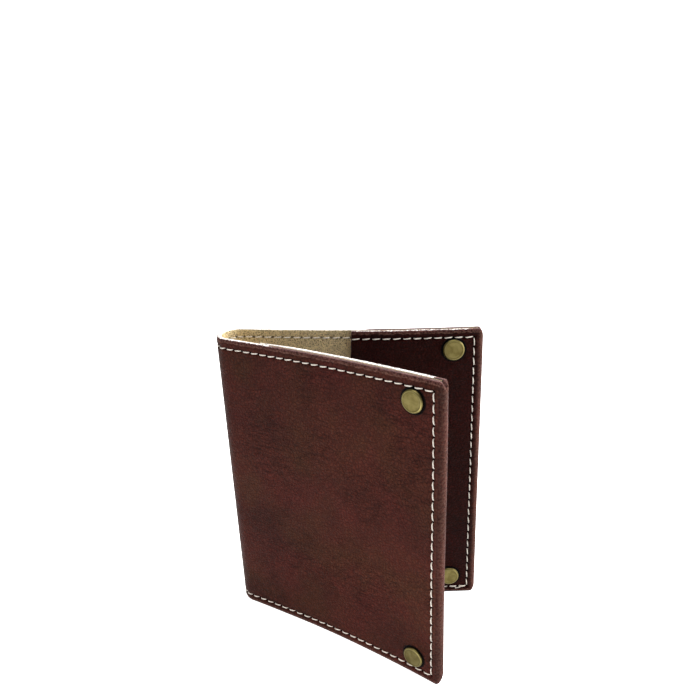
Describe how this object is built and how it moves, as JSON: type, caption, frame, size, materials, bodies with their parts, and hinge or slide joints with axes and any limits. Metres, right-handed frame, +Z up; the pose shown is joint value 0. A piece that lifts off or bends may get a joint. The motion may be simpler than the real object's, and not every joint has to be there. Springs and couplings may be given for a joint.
{
  "type": "bifold wallet",
  "caption": "Minimalist bifold wallet: a stitched leather strip folded over at both ends into slip pockets and held at its corners by brass rivets, opening at a soft spine.",
  "frame": {"origin": "on the surface the wallet stands on, under the middle of its bounding box at rest (open like a book)", "axes": "+Z up along the spine; +X from the spine towards the free edges; the rear cover leaves the spine along +X and the front cover swings towards -Y"},
  "size_m": [0.0904, 0.0555, 0.108],
  "materials": {
    "brown_leather": "vegetable-tanned, dark brown grain outside, tan flesh side inside, pale raw edge",
    "cream_thread": "waxed linen thread, twisted",
    "antique_brass": "antique, brushed flat with a worn raised rim"
  },
  "bodies": {
    "rear_half": {"rear_cover_leather": "brown_leather", "rear_edge_fold": "brown_leather", "rear_pocket_leather": "brown_leather", "spine_leather": "brown_leather", "spine_stitching": "cream_thread", "rear_stitching_outer": "cream_thread", "rear_stitching_inner": "cream_thread", "rear_top_rivet_cap": "antique_brass", "rear_top_rivet_stud": "antique_brass", "rear_bottom_rivet_cap": "antique_brass", "rear_bottom_rivet_stud": "antique_brass"},
    "front_half": {"front_cover_leather": "brown_leather", "front_edge_fold": "brown_leather", "front_pocket_leather": "brown_leather", "front_stitching_outer": "cream_thread", "front_stitching_inner": "cream_thread", "front_top_rivet_cap": "antique_brass", "front_top_rivet_stud": "antique_brass", "front_bottom_rivet_cap": "antique_brass", "front_bottom_rivet_stud": "antique_brass"}
  },
  "joints": [
    {"name": "spine_bend", "type": "hinge", "parent": "rear_half", "child": "front_half", "pos_m": [-0.0448, 0.01223, 0.054], "axis": [0, 0, -1], "range_deg": [-26, 150], "deforming": ["spine_leather", "spine_stitching"]}
  ]
}
